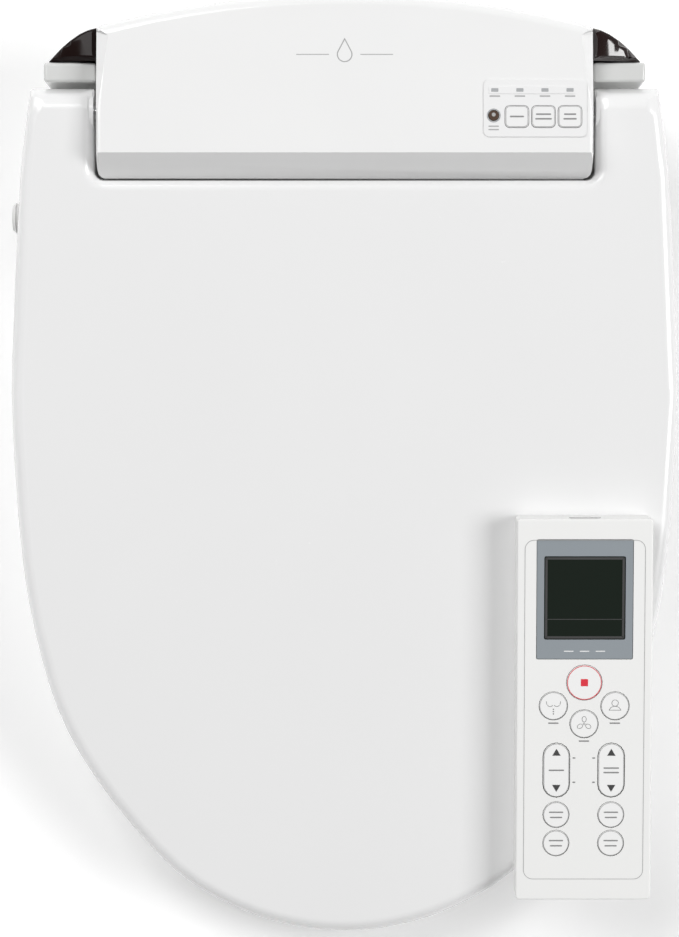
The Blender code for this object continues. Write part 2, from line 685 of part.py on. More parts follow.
def panel():
    """Overlay, lamps, light sensor and the three sprung buttons."""
    overlay = prism("panel_overlay", rounded_rectangle(PANEL_CENTRE, PANEL_SIZE, 3 * MM),
                    HOUSING_TOP + GAP / 2, HOUSING_TOP + GAP / 2 + 0.5 * MM, white_matte())
    low, high = lamp_strip_span()
    cut(overlay, box("overlay_lamp_tool", (low[0] - GAP, low[1] - GAP, 110 * MM),
                     (high[0] + GAP, high[1] + GAP, 125 * MM), dark_plastic()))
    cut(overlay, prism("overlay_sensor_tool", circle(SENSOR_CENTRE, 3.2 * MM, 20), 110 * MM, 125 * MM,
                       dark_plastic()))
    names = ("panel_button_light", "panel_button_saver", "panel_button_stop")
    for name, x in zip(names, BUTTON_X):
        size = (BUTTON_SIZE[0] + 0.6 * MM, BUTTON_SIZE[1] + 0.6 * MM)
        cut(overlay, prism(name + "_tool", rounded_rectangle((x, BUTTON_Y), size, 2.8 * MM), 110 * MM,
                           125 * MM, dark_plastic()))
        button = prism(name, rounded_rectangle((0, 0), BUTTON_SIZE, 2.5 * MM), -8 * MM, 1.1 * MM,
                       white_gloss(), 0.4 * MM)
        button.location = (x, BUTTON_Y, HOUSING_TOP)
    box("indicator_lamps", (*low, HOUSING_TOP - 3 * MM), (*high, HOUSING_TOP + 0.9 * MM),
        grey_plastic(), 0.2 * MM)
    prism("light_sensor", circle(SENSOR_CENTRE, 2.9 * MM, 20), HOUSING_TOP - 4 * MM, HOUSING_TOP + 0.9 * MM,
          smoked(), 0.3 * MM)
    box("control_board", (78 * MM, -21 * MM, 102 * MM), (131 * MM, 21 * MM, 103.6 * MM), green_board())


def lens_top(x, y, away):
    """Crowned upper face of a corner window, steeper towards the side."""
    out = (abs(x) - HOUSING_HALF) / MM
    return (107 - 0.12 * out - 0.0063 * out ** 2) * MM - rounding(away, 2 * MM)


def corner_lenses():
    """Smoked windows at the rear corners, in front of the night lamps."""
    for name, side in (("corner_lens_left", -1), ("corner_lens_right", 1)):
        outline = [(HOUSING_HALF + 0.5 * MM, SHOULDER_REAR + 0.5 * MM)]
        outline += [(x + 0.5 * MM * (i == 0), y) for i, (x, y) in enumerate(corner_arc(6)[:-1])
                    if y > SHOULDER_REAR + 1 * MM]
        outline += [(BASE_HALF - 3 * MM, SHOULDER_REAR + 0.5 * MM)]
        grid = [(side * (HOUSING_HALF + out * MM), SHOULDER_REAR + back * MM)
                for out in range(3, 30, 3) for back in range(3, 18, 3)]
        grid = [p for p in grid if distance_to(Vector(p), [[(side * x, y) for x, y in outline]]) > 2.3 * MM]
        region_solid(name, [[(side * x, y) for x, y in outline]], lens_top,
                     lambda x, y, away: PARTING_Z + GAP, smoked(), (0.5 * MM, 2 * MM), (), grid)


def hinges():
    """Hinge pins, which pass through the lid's arm and the seat's ear, and the dampers."""
    for label, side in (("left", -1), ("right", 1)):
        turned(f"hinge_pin_{label}", [(0, 4 * MM), (1 * MM, PIN_RADIUS), (50.6 * MM, PIN_RADIUS),
                                      (51.6 * MM, 4 * MM)],
               (side, 0, 0), (side * 120.4 * MM, 0, HINGE_Z), steel())
        turned(f"soft_close_damper_{label}", [(0, 6 * MM), (1.5 * MM, 8.4 * MM), (38 * MM, 8.4 * MM),
                                              (38 * MM, 6 * MM), (41.4 * MM, 6 * MM)],
               (side, 0, 0), (side * 78 * MM, 0, HINGE_Z), dark_plastic(), 20)


def water_inlet():
    """Threaded connector: turned ridges between a collar and a chamfered end."""
    start, ridge, pitch = -150 * MM, 9.3 * MM, 1.5 * MM
    profile = [(0, 7 * MM), (21.4 * MM, 7 * MM), (21.4 * MM, 10.4 * MM), (24.4 * MM, 10.4 * MM),
               (24.4 * MM, 8.2 * MM)]
    along = 25.2 * MM
    while along + pitch < -INLET_END + start - 1.2 * MM:
        profile += [(along, 8.3 * MM), (along + 0.5 * pitch, ridge)]
        along += pitch
    profile += [(along, 8.3 * MM), (-INLET_END + start, 7.4 * MM)]
    turned("water_inlet", profile, (-1, 0, 0), (start, INLET_Y, INLET_Z), white_matte(), 16)


def water_parts():
    """Inlet valve, heated tank and pump."""
    box("inlet_valve", (-149.4 * MM, -68 * MM, 11 * MM), (-118 * MM, -44 * MM, 31 * MM), dark_plastic(),
        2 * MM)
    box("heater_tank", (-130 * MM, -26 * MM, 11 * MM), (-66 * MM, 34 * MM, 80 * MM), steel(), 7 * MM, 2)
    turned("pump", [(0, 11 * MM), (26 * MM, 11 * MM), (26 * MM, 8 * MM), (40 * MM, 8 * MM)], (0, 0, 1),
           (-50 * MM, 14 * MM, 11 * MM), dark_plastic(), 20)


def cord_gland():
    """Ribbed sleeve where the power cord leaves the base."""
    turned("cord_gland", [(0, 5 * MM), (21.4 * MM, 5 * MM), (21.4 * MM, 8 * MM), (27 * MM, 7 * MM)],
           (1, 0, 0), (150 * MM, GLAND_Y, GLAND_Z), dark_plastic(), 20)


def nozzles():
    """Two spray wands on a slope, each with a pinion and a motor above it."""
    along = Vector((0, -math.cos(NOZZLE_TILT), -math.sin(NOZZLE_TILT)))
    up = Vector((0, -math.sin(NOZZLE_TILT), math.cos(NOZZLE_TILT)))
    for label, side in (("rear", -1), ("front", 1)):
        tip = Vector((side * NOZZLE_X, *NOZZLE_TIP))
        carrier = empty(f"{label}_nozzle_slide", tip)
        profile = [(0, NOZZLE_RADIUS), (NOZZLE_LENGTH - 8 * MM, NOZZLE_RADIUS),
                   (NOZZLE_LENGTH - 2 * MM, 5.4 * MM), (NOZZLE_LENGTH, 3.4 * MM)]
        turned(f"{label}_nozzle", profile, along, -along * NOZZLE_LENGTH, steel(), 20, carrier)
        height = (NOZZLE_RADIUS + PINION_RADIUS + 0.5 * MM)
        axle = tip - along * 62 * MM + up * height
        pinion = prism(f"{label}_pinion", gear_outline(PINION_RADIUS, 12), -2.5 * MM, 2.5 * MM, white_matte())
        pinion.rotation_euler = (0, math.pi / 2, 0)
        pinion.location = axle
        turned(f"{label}_nozzle_motor", [(0, 3 * MM), (2 * MM, 3 * MM), (2 * MM, 9 * MM), (16 * MM, 9 * MM)],
               (side, 0, 0), axle + Vector((side * 3 * MM, 0, 0)), steel(), 20)


def gear_outline(radius, teeth):
    """Plan of a small toothed wheel."""
    outline = []
    for tooth in range(teeth):
        for turn, reach in ((0.0, 0.82), (0.2, 1.0), (0.5, 1.0), (0.7, 0.82)):
            angle = 2 * math.pi * (tooth + turn) / teeth
            outline.append((radius * reach * math.cos(angle), radius * reach * math.sin(angle)))
    return outline


def dryer():
    """Fan casing, impeller, air duct and the flap that closes the air outlet."""
    centre = (88 * MM, 4 * MM)
    casing = prism("dryer_fan_casing", circle(centre, 27 * MM, 24), 11 * MM, 44 * MM, dark_plastic(), 2 * MM)
    cut(casing, prism("fan_room_tool", circle(centre, 24.6 * MM, 24), 13.4 * MM, 50 * MM, dark_plastic()))
    impeller = prism("dryer_impeller", gear_outline(22 * MM, 14), 15 * MM, 38 * MM, grey_plastic())
    impeller.location = (*centre, 0)
    box("dryer_duct", (28 * MM, -70 * MM, 13 * MM), (52 * MM, -30 * MM, 31 * MM), dark_plastic(), 2 * MM)
    flap = box("dryer_flap", (-14.5 * MM, -1.2 * MM, -17.6 * MM), (14.5 * MM, 1.2 * MM, 1.2 * MM),
               white_matte(),
               0.8 * MM)
    flap.location = (40 * MM, DECK_FRONT + 1.4 * MM, 29.4 * MM)


def mounting_plate():
    """Plate that stays bolted to the bowl, with the release latch of the base."""
    centre = (0.0, 4 * MM)
    size = (2 * PLATE_HALF[0], 2 * PLATE_HALF[1])
    plate = prism("mounting_plate", rounded_rectangle(centre, size, 5 * MM), 0.0, PLATE_THICK, white_matte())
    for side in (-1, 1):
        slot = rounded_rectangle((side * BOLT_SPACING / 2, 0.0), (10 * MM, 36 * MM), 4.9 * MM)
        cut(plate, prism(f"slot_tool_{side + 1}", slot, -5 * MM, 10 * MM, dark_plastic()))
    button = box("release_button", (-20 * MM, -6.5 * MM, -5.5 * MM), (4 * MM, 6.5 * MM, 5.5 * MM),
                 grey_plastic(),
                 1.2 * MM)
    button.location = (BASE_HALF, 8 * MM, GLAND_Z)


# Remote control -----------------------------------------------------------------------------

def remote_shells(parent):
    """Front and back halves of the remote's case."""
    outline = rounded_rectangle((0, 0), REMOTE_SIZE[:2], 2 * MM)

    def back_top(x, y, away):
        return REMOTE_SPLIT - GAP / 2 if away < REMOTE_WALL + 0.1 * MM else REMOTE_WALL + 0.2 * MM

    def front_under(x, y, away):
        return REMOTE_SPLIT + GAP / 2 if away < REMOTE_WALL + 0.1 * MM else REMOTE_SIZE[2] - REMOTE_WALL
    rings = (REMOTE_WALL, REMOTE_WALL + 0.3 * MM)
    back = region_solid("remote_back_shell", [outline], back_top, lambda x, y, away: rounding(away, 1.5 * MM),
                        white_gloss(), rings, (0.6 * MM, 1.5 * MM), parent=parent)
    front = region_solid("remote_front_shell", [outline],
                         lambda x, y, away: REMOTE_SIZE[2] - rounding(away, 1.2 * MM), front_under,
                         white_gloss(), (0.5 * MM, 1.2 * MM), rings, parent=parent)
    local_cut(back, "battery_way_tool", rounded_rectangle((0, -84 * MM), (43 * MM, 70 * MM), 1 * MM), -3 * MM,
              5 * MM, parent)
    x, y, width, length = BEZEL
    local_cut(front, "bezel_way_tool", rounded_rectangle((x, y), (width + 2 * GAP, length + 2 * GAP), 1 * MM),
              15 * MM, 25 * MM, parent)
    for label, (x, y, radius) in ROUND_KEYS.items():
        local_cut(front, f"{label}_way_tool", circle((x * MM, y * MM), radius * MM + GAP, 20), 15 * MM,
                  25 * MM,
                  parent)
    for label, (x, y) in ROCKERS.items():
        size = (ROCKER_SIZE[0] + 3 * GAP, ROCKER_SIZE[1] + 3 * GAP)
        local_cut(front, f"{label}_way_tool",
                  rounded_rectangle((x * MM, y * MM), size, size[0] / 2 - 0.1 * MM, 4),
                  15 * MM, 25 * MM, parent)


def local_cut(target, name, outline, low, high, parent):
    """Cut a way through a piece in its own tilted frame."""
    return cut(target, prism(name, outline, low, high, dark_plastic(), parent=parent))


def remote_keys(parent):
    """Eight push keys and two rockers, each on its own empty or origin."""
    top = REMOTE_SIZE[2] + KEY_PROUD
    for label, (x, y, radius) in ROUND_KEYS.items():
        key = prism(f"key_{label}", circle((0, 0), radius * MM, 20), KEY_BOTTOM - top, 0, white_gloss(),
                    0.4 * MM, 1,
                    parent)
        key.location = (x * MM, y * MM, top)
    for label, (x, y) in ROCKERS.items():
        outline = rounded_rectangle((0, 0), ROCKER_SIZE, ROCKER_SIZE[0] / 2 - 0.1 * MM, 4)
        rocker = prism(f"rocker_{label}", outline, -1.6 * MM, REMOTE_SIZE[2] + KEY_PROUD - 17.6 * MM,
                       white_gloss(),
                       0.4 * MM, 1, parent)
        rocker.location = (x * MM, y * MM, 17.6 * MM)


def remote_inside(parent):
    """Display, bezel, board, cells and battery cover."""
    x, y, width, length = BEZEL
    bezel = prism("remote_bezel", rounded_rectangle((x, y), (width, length), 0.8 * MM), 18.4 * MM, 20.8 * MM,
                  grey_plastic(), parent=parent)
    x, y, width, length = DISPLAY
    local_cut(bezel, "display_way_tool",
              rounded_rectangle((x, y), (width + 2 * GAP, length + 2 * GAP), 1 * MM),
              15 * MM, 25 * MM, parent)
    prism("remote_display", rounded_rectangle((x, y), (width, length), 0.8 * MM), 17.4 * MM, 20.3 * MM,
          material("display_glass", (0.03, 0.035, 0.03), 0.12), parent=parent)
    box("remote_board", (-33 * MM, -100 * MM, 13.4 * MM), (33 * MM, 100 * MM, 14.6 * MM), green_board(),
        parent=parent)
    for label, side in (("left", -1), ("right", 1)):
        turned(f"battery_cell_{label}",
               [(0, 5.1 * MM), (43 * MM, 5.1 * MM), (43 * MM, 2 * MM), (44.2 * MM, 2 * MM)],
               (0, side, 0), (side * 6 * MM, -78 * MM - side * 22 * MM, 7.9 * MM), steel(), 16, parent)
    box("battery_cover", (-21 * MM, -REMOTE_SIZE[1] / 2 + 0.6 * MM, 0.2 * MM),
        (21 * MM, -49.6 * MM, 1.9 * MM),
        white_gloss(), 0.4 * MM, parent=parent)


def remote():
    """Remote control lying on the lid, parallel to its upper plane."""
    x, y = REMOTE_CENTRE
    slope = math.atan2(HINGE_Z + BARREL - LID_TIP_TOP, -FRONT_Y)
    holder = empty("remote_lift", (x, y, lid_top(y) + GAP), slope)
    remote_shells(holder)
    remote_keys(holder)
    remote_inside(holder)


def main():
    """Clear the scene and build every piece."""
    for old in list(bpy.data.objects):
        bpy.data.objects.remove(old)
    seat_axis = empty("seat_axis", (0, 0, 0))
    lid_axis = empty("lid_axis", (0, 0, 0))
    lid_shell(lid_axis)
    lid_bumpers(lid_axis)
    seat_upper(seat_axis)
    seat_lower(seat_axis)
    seat_heater(seat_axis)
    seat_bumpers(seat_axis)
    base_chassis()
    top_cover()
    panel()
    corner_lenses()
    hinges()
    water_inlet()
    water_parts()
    cord_gland()
    nozzles()
    dryer()
    mounting_plate()
    remote()


if __name__ == "__main__":
    main()
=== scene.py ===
"""Looks of the electric bidet seat and its remote control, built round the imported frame.

Every place is read from the frame; metres, +Z up, the front of the seat towards -Y.
"""

import json
import logging
import math
from dataclasses import dataclass, field
from enum import Enum
from typing import Iterable, Sequence

import bpy
from mathutils import Matrix, Vector


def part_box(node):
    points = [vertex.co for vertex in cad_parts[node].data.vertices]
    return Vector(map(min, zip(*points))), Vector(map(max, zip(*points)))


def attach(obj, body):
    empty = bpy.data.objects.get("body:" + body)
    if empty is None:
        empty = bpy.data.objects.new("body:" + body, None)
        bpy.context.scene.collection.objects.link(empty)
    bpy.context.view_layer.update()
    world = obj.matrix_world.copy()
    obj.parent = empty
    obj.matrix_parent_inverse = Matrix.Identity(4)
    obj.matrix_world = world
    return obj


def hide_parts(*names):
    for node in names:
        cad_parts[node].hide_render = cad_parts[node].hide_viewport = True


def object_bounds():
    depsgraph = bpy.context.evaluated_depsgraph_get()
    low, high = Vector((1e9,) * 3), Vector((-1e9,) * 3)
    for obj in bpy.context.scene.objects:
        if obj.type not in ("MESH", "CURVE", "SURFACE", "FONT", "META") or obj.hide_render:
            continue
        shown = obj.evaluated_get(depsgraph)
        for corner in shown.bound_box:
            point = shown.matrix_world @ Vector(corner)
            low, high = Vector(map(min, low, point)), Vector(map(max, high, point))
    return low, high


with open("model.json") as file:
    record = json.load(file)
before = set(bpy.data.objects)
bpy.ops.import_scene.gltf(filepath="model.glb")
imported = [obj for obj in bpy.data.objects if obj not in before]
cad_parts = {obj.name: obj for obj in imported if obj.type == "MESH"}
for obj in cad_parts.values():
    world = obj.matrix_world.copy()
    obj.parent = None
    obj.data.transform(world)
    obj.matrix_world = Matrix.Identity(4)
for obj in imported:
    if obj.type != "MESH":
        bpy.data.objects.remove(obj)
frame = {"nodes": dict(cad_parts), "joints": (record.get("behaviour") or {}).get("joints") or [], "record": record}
CAD_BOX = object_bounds()

MM = 0.001
WELD = 0.01 * MM      # distance within which a CAD node's loose corners are merged
FLAT_ANGLE = 0.5      # degrees between triangles that count as one flat face
SHARP_ANGLE = 32.0    # degrees above which an edge is sharp, and bevelled
SMOOTH_ANGLE = 40.0   # degrees below which a printed mark is shaded smooth
LOG = logging.getLogger("bidet_seat")
Point = tuple[float, float]
Spot = tuple[float, float, float]


# Modelling helpers --------------------------------------------------------------------------

def clear_selection() -> None:
    """Leave edit mode and deselect everything."""
    if bpy.context.object and bpy.context.object.mode != 'OBJECT':
        bpy.ops.object.mode_set(mode='OBJECT')
    bpy.ops.object.select_all(action='DESELECT')


def make_active(piece: bpy.types.Object) -> None:
    """Select one object alone and make it active."""
    clear_selection()
    piece.select_set(True)
    bpy.context.view_layer.objects.active = piece


def apply_modifiers(piece: bpy.types.Object) -> None:
    """Apply every modifier of a piece in order."""
    make_active(piece)
    for modifier in list(piece.modifiers):
        bpy.ops.object.modifier_apply(modifier=modifier.name)


def soften(piece: bpy.types.Object, angle: float) -> None:
    """Shade a piece smooth below an angle and weight its normals by face area.

    Args:
        piece: the finished mesh.
        angle: angle below which an edge is shaded smooth, in degrees.
    """
    make_active(piece)
    bpy.ops.object.shade_smooth_by_angle(angle=math.radians(angle))
    weights = piece.modifiers.new("weights", 'WEIGHTED_NORMAL')
    weights.keep_sharp = True
    weights.weight = 60
    apply_modifiers(piece)


def arc(centre: Point, radius: float, start: float, end: float, steps: int) -> list[Point]:
    """Points along an arc, both ends included; angles in degrees."""
    turns = [math.radians(start + (end - start) * i / steps) for i in range(steps + 1)]
    return [(centre[0] + radius * math.cos(a), centre[1] + radius * math.sin(a)) for a in turns]


def ring_points(centre: Point, radius: float, steps: int = 48) -> list[Point]:
    """Points round a full circle."""
    return arc(centre, radius, 0, 360, steps)[:-1]


def round_box(centre: Point, size: Point, radius: float, steps: int = 8) -> list[Point]:
    """Outline of a rectangle with round corners.

    Args:
        centre: the rectangle's middle.
        size: its width and length.
        radius: the radius of its corners.
        steps: segments in each corner.

    Returns:
        The outline's points, anticlockwise.
    """
    x, y = size[0] / 2 - radius, size[1] / 2 - radius
    outline: list[Point] = []
    for cx, cy, start in ((x, y, 0), (-x, y, 90), (-x, -y, 180), (x, -y, 270)):
        outline += arc((centre[0] + cx, centre[1] + cy), radius, start, start + 90, steps)
    return outline


def plate(name: str, outline: Sequence[Point], low: float, high: float, place: Matrix,
          edge: float = 0.0, line: float = 0.0) -> bpy.types.Object:
    """Model a thin plate or, with a line width, a closed line of that width.

    Args:
        name: the piece's name.
        outline: its plan, anticlockwise.
        low: underside height in the plan's own frame.
        high: top height in the same frame.
        place: matrix from the plan's frame to the world.
        edge: width of the bevel round the top.
        line: width of the line, or 0 for a filled plate.

    Returns:
        The finished object, standing at the origin.
    """
    clear_selection()
    bpy.ops.mesh.primitive_circle_add(vertices=len(outline), radius=1.0, fill_type='NGON')
    piece = bpy.context.object
    piece.name = piece.data.name = name
    for vert, (x, y) in zip(piece.data.vertices, outline):
        vert.co = (x, y, low)
    bpy.ops.object.mode_set(mode='EDIT')
    bpy.ops.mesh.select_all(action='SELECT')
    if line:
        bpy.ops.mesh.inset(thickness=line, depth=0.0, use_boundary=True, use_even_offset=True)
        bpy.ops.mesh.delete(type='FACE')
        bpy.ops.mesh.select_all(action='SELECT')
    bpy.ops.mesh.extrude_region_move(TRANSFORM_OT_translate={"value": (0, 0, high - low)})
    if edge:
        bpy.ops.mesh.bevel(offset=edge, segments=3, affect='EDGES')
    bpy.ops.mesh.select_all(action='SELECT')
    bpy.ops.mesh.normals_make_consistent(inside=False)
    bpy.ops.object.mode_set(mode='OBJECT')
    piece.data.transform(place)
    soften(piece, SMOOTH_ANGLE)
    return piece


def bar(name: str, start: Point, end: Point, width: float, low: float, high: float,
        place: Matrix) -> bpy.types.Object:
    """Model a straight stroke with round ends between two points of the plan.

    Args:
        name: the piece's name.
        start: one end of the stroke's middle line.
        end: the other end.
        width: the stroke's width.
        low: underside height in the plan's own frame.
        high: top height in the same frame.
        place: matrix from the plan's frame to the world.

    Returns:
        The finished stroke, standing at the origin.
    """
    along = Vector((end[0] - start[0], end[1] - start[1]))
    turn = math.degrees(math.atan2(along.y, along.x))
    outline = arc(end, width / 2, turn - 90, turn + 90, 6)
    outline += arc(start, width / 2, turn + 90, turn + 270, 6)
    return plate(name, outline, low, high, place)


def join_up(name: str, parts: Sequence[bpy.types.Object]) -> bpy.types.Object:
    """Join several small pieces of one kind into one object.

    Args:
        name: the joined piece's name.
        parts: the pieces, of which the first takes in the others.

    Returns:
        The joined piece.
    """
    clear_selection()
    for part in parts:
        part.select_set(True)
    bpy.context.view_layer.objects.active = parts[0]
    if len(parts) > 1:
        bpy.ops.object.join()
    joined = bpy.context.object
    joined.name = joined.data.name = name
    return joined


def dress(piece: bpy.types.Object, look: bpy.types.Material, body: str) -> None:
    """Give a finished piece its material and its body, and report it.

    Args:
        piece: the finished piece.
        look: its material.
        body: the CAD body that it rides on.
    """
    piece.data.materials.clear()
    piece.data.materials.append(look)
    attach(piece, body)
    LOG.info("%s rides on %s", piece.name, body)


def body_of(node: str) -> str:
    """Return the body that holds a CAD node."""
    groups = frame["record"]["behaviour"]["bodies"]
    return next(body for body, members in groups.items() if node in members)


def slot_of(node: str) -> str:
    """Return the material slot that the record gives a CAD node."""
    return next(s["material_slot"] for s in frame["record"]["subparts"] if s["node"] == node)


def finished_copy(node: str, edge: float) -> bpy.types.Object:
    """Make a smooth, bevelled copy of a CAD node, which stands for it.

    Args:
        node: the CAD node's name.
        edge: bevel width on its sharp edges, in metres.

    Returns:
        The copy, merged, bevelled and shaded.
    """
    clear_selection()
    source = frame["nodes"][node]
    piece = bpy.data.objects.new(node + "_finish", source.data.copy())
    bpy.context.scene.collection.objects.link(piece)
    make_active(piece)
    bpy.ops.object.mode_set(mode='EDIT')
    bpy.ops.mesh.select_all(action='SELECT')
    bpy.ops.mesh.remove_doubles(threshold=WELD)
    bpy.ops.mesh.dissolve_limited(angle_limit=math.radians(FLAT_ANGLE))
    bpy.ops.object.mode_set(mode='OBJECT')
    bevel = piece.modifiers.new("edges", 'BEVEL')
    bevel.width = edge
    bevel.segments = 3
    bevel.limit_method = 'ANGLE'
    bevel.angle_limit = math.radians(SHARP_ANGLE)
    apply_modifiers(piece)
    soften(piece, SHARP_ANGLE + 6)
    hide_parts(node)
    return piece


# Shader groups and finishes -----------------------------------------------------------------

class Sheen(Enum):
    """How much a moulded surface shines."""

    POLISHED = 0.16
    SATIN = 0.34
    MATTE = 0.55


def group_sockets(group: bpy.types.NodeTree, inputs: Sequence[tuple[str, float]],
                  outputs: Sequence[str]) -> None:
    """Give a shader group its named float inputs and outputs.

    Args:
        group: the shader group.
        inputs: each input's name and value.
        outputs: each output's name.
    """
    for name, value in inputs:
        socket = group.interface.new_socket(name, in_out='INPUT', socket_type='NodeSocketFloat')
        socket.default_value = value
    for name in outputs:
        group.interface.new_socket(name, in_out='OUTPUT', socket_type='NodeSocketFloat')


def moulding_group() -> bpy.types.NodeTree:
    """Build the shared group for moulded plastic: flow marks, fine orange peel and handling."""
    found = bpy.data.node_groups.get("moulding")
    if found:
        return found
    group = bpy.data.node_groups.new("moulding", 'ShaderNodeTree')
    group_sockets(group, (("Peel", 260.0), ("Flow", 9.0)), ("Height", "Tone", "Handling"))
    nodes, links = group.nodes, group.links
    entry, result = nodes.new("NodeGroupInput"), nodes.new("NodeGroupOutput")
    place = nodes.new("ShaderNodeTexCoord")
    peel, flow, specks = (nodes.new("ShaderNodeTexNoise") for _ in range(3))
    for noise, socket in ((peel, "Peel"), (flow, "Flow")):
        links.new(place.outputs["Object"], noise.inputs["Vector"])
        links.new(entry.outputs[socket], noise.inputs["Scale"])
    peel.inputs["Detail"].default_value = 3.0
    flow.inputs["Detail"].default_value = 4.0
    flow.inputs["Distortion"].default_value = 1.2
    links.new(place.outputs["Object"], specks.inputs["Vector"])
    specks.inputs["Scale"].default_value = 42.0
    specks.inputs["Detail"].default_value = 6.0
    specks.inputs["Roughness"].default_value = 0.7
    spread = nodes.new("ShaderNodeMapRange")
    spread.inputs["From Min"].default_value = 0.45
    spread.inputs["From Max"].default_value = 0.75
    links.new(specks.outputs["Fac"], spread.inputs["Value"])
    links.new(peel.outputs["Fac"], result.inputs["Height"])
    links.new(flow.outputs["Fac"], result.inputs["Tone"])
    links.new(spread.outputs["Result"], result.inputs["Handling"])
    return group


def crevice_group() -> bpy.types.NodeTree:
    """Build the shared group that finds crevices from the curvature, the mask for painted shade in them."""
    found = bpy.data.node_groups.get("crevices")
    if found:
        return found
    group = bpy.data.node_groups.new("crevices", 'ShaderNodeTree')
    group_sockets(group, (), ("Crevice",))
    nodes, links = group.nodes, group.links
    result, shape = nodes.new("NodeGroupOutput"), nodes.new("ShaderNodeNewGeometry")
    crevice = nodes.new("ShaderNodeMapRange")
    crevice.inputs["From Min"].default_value, crevice.inputs["From Max"].default_value = 0.49, 0.42
    links.new(shape.outputs["Pointiness"], crevice.inputs["Value"])
    links.new(crevice.outputs["Result"], result.inputs["Crevice"])
    return group


@dataclass(frozen=True)
class Finish:
    """A moulded, printed, rubber or metal finish with its own grain and colour variation, and painted shade in its
    crevices.
    """

    name: str
    colour: tuple[float, float, float]
    shade: tuple[float, float, float]
    roughness: float
    metallic: float = 0.0
    specular: float = 0.5
    coat: float = 0.0
    peel: float = 260.0
    bump: float = 0.02
    flow: float = 9.0
    handling: float = 0.06
    glow: float = 0.0
    
    def material(self) -> bpy.types.Material:
        """Return the finish's material, made once."""
        found = bpy.data.materials.get(self.name)
        if found:
            return found
        made = bpy.data.materials.new(self.name)
        made.use_nodes = True
        nodes, links = made.node_tree.nodes, made.node_tree.links
        shader = nodes["Principled BSDF"]
        shader.inputs["Metallic"].default_value = self.metallic
        shader.inputs["Specular IOR Level"].default_value = self.specular
        shader.inputs["Coat Weight"].default_value = self.coat
        shader.inputs["Coat Roughness"].default_value = 0.06
        shader.inputs["Emission Color"].default_value = (*self.colour, 1)
        shader.inputs["Emission Strength"].default_value = self.glow
        moulding, edges = nodes.new("ShaderNodeGroup"), nodes.new("ShaderNodeGroup")
        moulding.node_tree, edges.node_tree = moulding_group(), crevice_group()
        moulding.inputs["Peel"].default_value = self.peel
        moulding.inputs["Flow"].default_value = self.flow
        tone = nodes.new("ShaderNodeMix")
        tone.data_type = 'RGBA'
        tone.inputs["A"].default_value = (*self.colour, 1)
        tone.inputs["B"].default_value = (*self.shade, 1)
        links.new(moulding.outputs["Tone"], tone.inputs["Factor"])
        # Painted shade: the base colour is darkened towards (0.82, 0.81, 0.79) in crevices found from the
        # curvature.
        painted_crevice_shade = nodes.new("ShaderNodeMix")
        painted_crevice_shade.data_type = 'RGBA'
        painted_crevice_shade.blend_type = 'MULTIPLY'
        links.new(tone.outputs["Result"], painted_crevice_shade.inputs["A"])
        painted_crevice_shade.inputs["B"].default_value = (0.82, 0.81, 0.79, 1)
        links.new(edges.outputs["Crevice"], painted_crevice_shade.inputs["Factor"])
        links.new(painted_crevice_shade.outputs["Result"], shader.inputs["Base Color"])
        polish = nodes.new("ShaderNodeMapRange")
        polish.inputs["To Min"].default_value = self.roughness
        polish.inputs["To Max"].default_value = self.roughness + self.handling
        links.new(moulding.outputs["Handling"], polish.inputs["Value"])
        links.new(polish.outputs["Result"], shader.inputs["Roughness"])
        bump = nodes.new("ShaderNodeBump")
        bump.inputs["Strength"].default_value = self.bump
        bump.inputs["Distance"].default_value = 0.0005
        links.new(moulding.outputs["Height"], bump.inputs["Height"])
        links.new(bump.outputs["Normal"], shader.inputs["Normal"])
        return made


GLOSS_WHITE = Finish("gloss_white", (0.86, 0.86, 0.858), (0.83, 0.83, 0.828), Sheen.POLISHED.value,
                     coat=0.35, peel=320, bump=0.015)
LID_WHITE = Finish("lid_gloss_white", (0.845, 0.845, 0.845), (0.82, 0.82, 0.82),
                   Sheen.POLISHED.value + 0.06,
                   coat=0.3, peel=240, bump=0.018, flow=4)
SEAT_WHITE = Finish("seat_gloss_white", (0.84, 0.84, 0.835), (0.82, 0.82, 0.815),
                    Sheen.POLISHED.value + 0.04,
                    coat=0.3, peel=260, bump=0.016, flow=5)
REMOTE_WHITE = Finish("remote_satin_white", (0.86, 0.86, 0.85), (0.84, 0.84, 0.83), Sheen.SATIN.value,
                      peel=900, bump=0.05)
KEY_WHITE = Finish("key_satin_white", (0.87, 0.87, 0.865), (0.85, 0.85, 0.845), Sheen.SATIN.value + 0.04,
                   peel=1400, bump=0.05)
FITTING_WHITE = Finish("fitting_satin_white", (0.74, 0.74, 0.735), (0.71, 0.71, 0.70), Sheen.SATIN.value,
                       peel=500,
                       bump=0.08)
PANEL_FILM = Finish("panel_film_white", (0.83, 0.83, 0.83), (0.81, 0.81, 0.81), Sheen.SATIN.value - 0.06,
                    peel=1800, bump=0.06)
SMOKED = Finish("smoked_brown", (0.016, 0.005, 0.004), (0.008, 0.003, 0.003), 0.07, coat=1.0, peel=120,
                bump=0.01, handling=0.03)
# Painted shade: the left corner lens is the smoked lens with its specular and coat turned down, so it shows no
# reflection and reads darker than the right.
SMOKED_UNLIT = Finish("smoked_brown_painted_shade", (0.012, 0.006, 0.005), (0.008, 0.004, 0.004), 0.1, specular=0.08,
                     coat=0.06, peel=120, bump=0.01, handling=0.03)
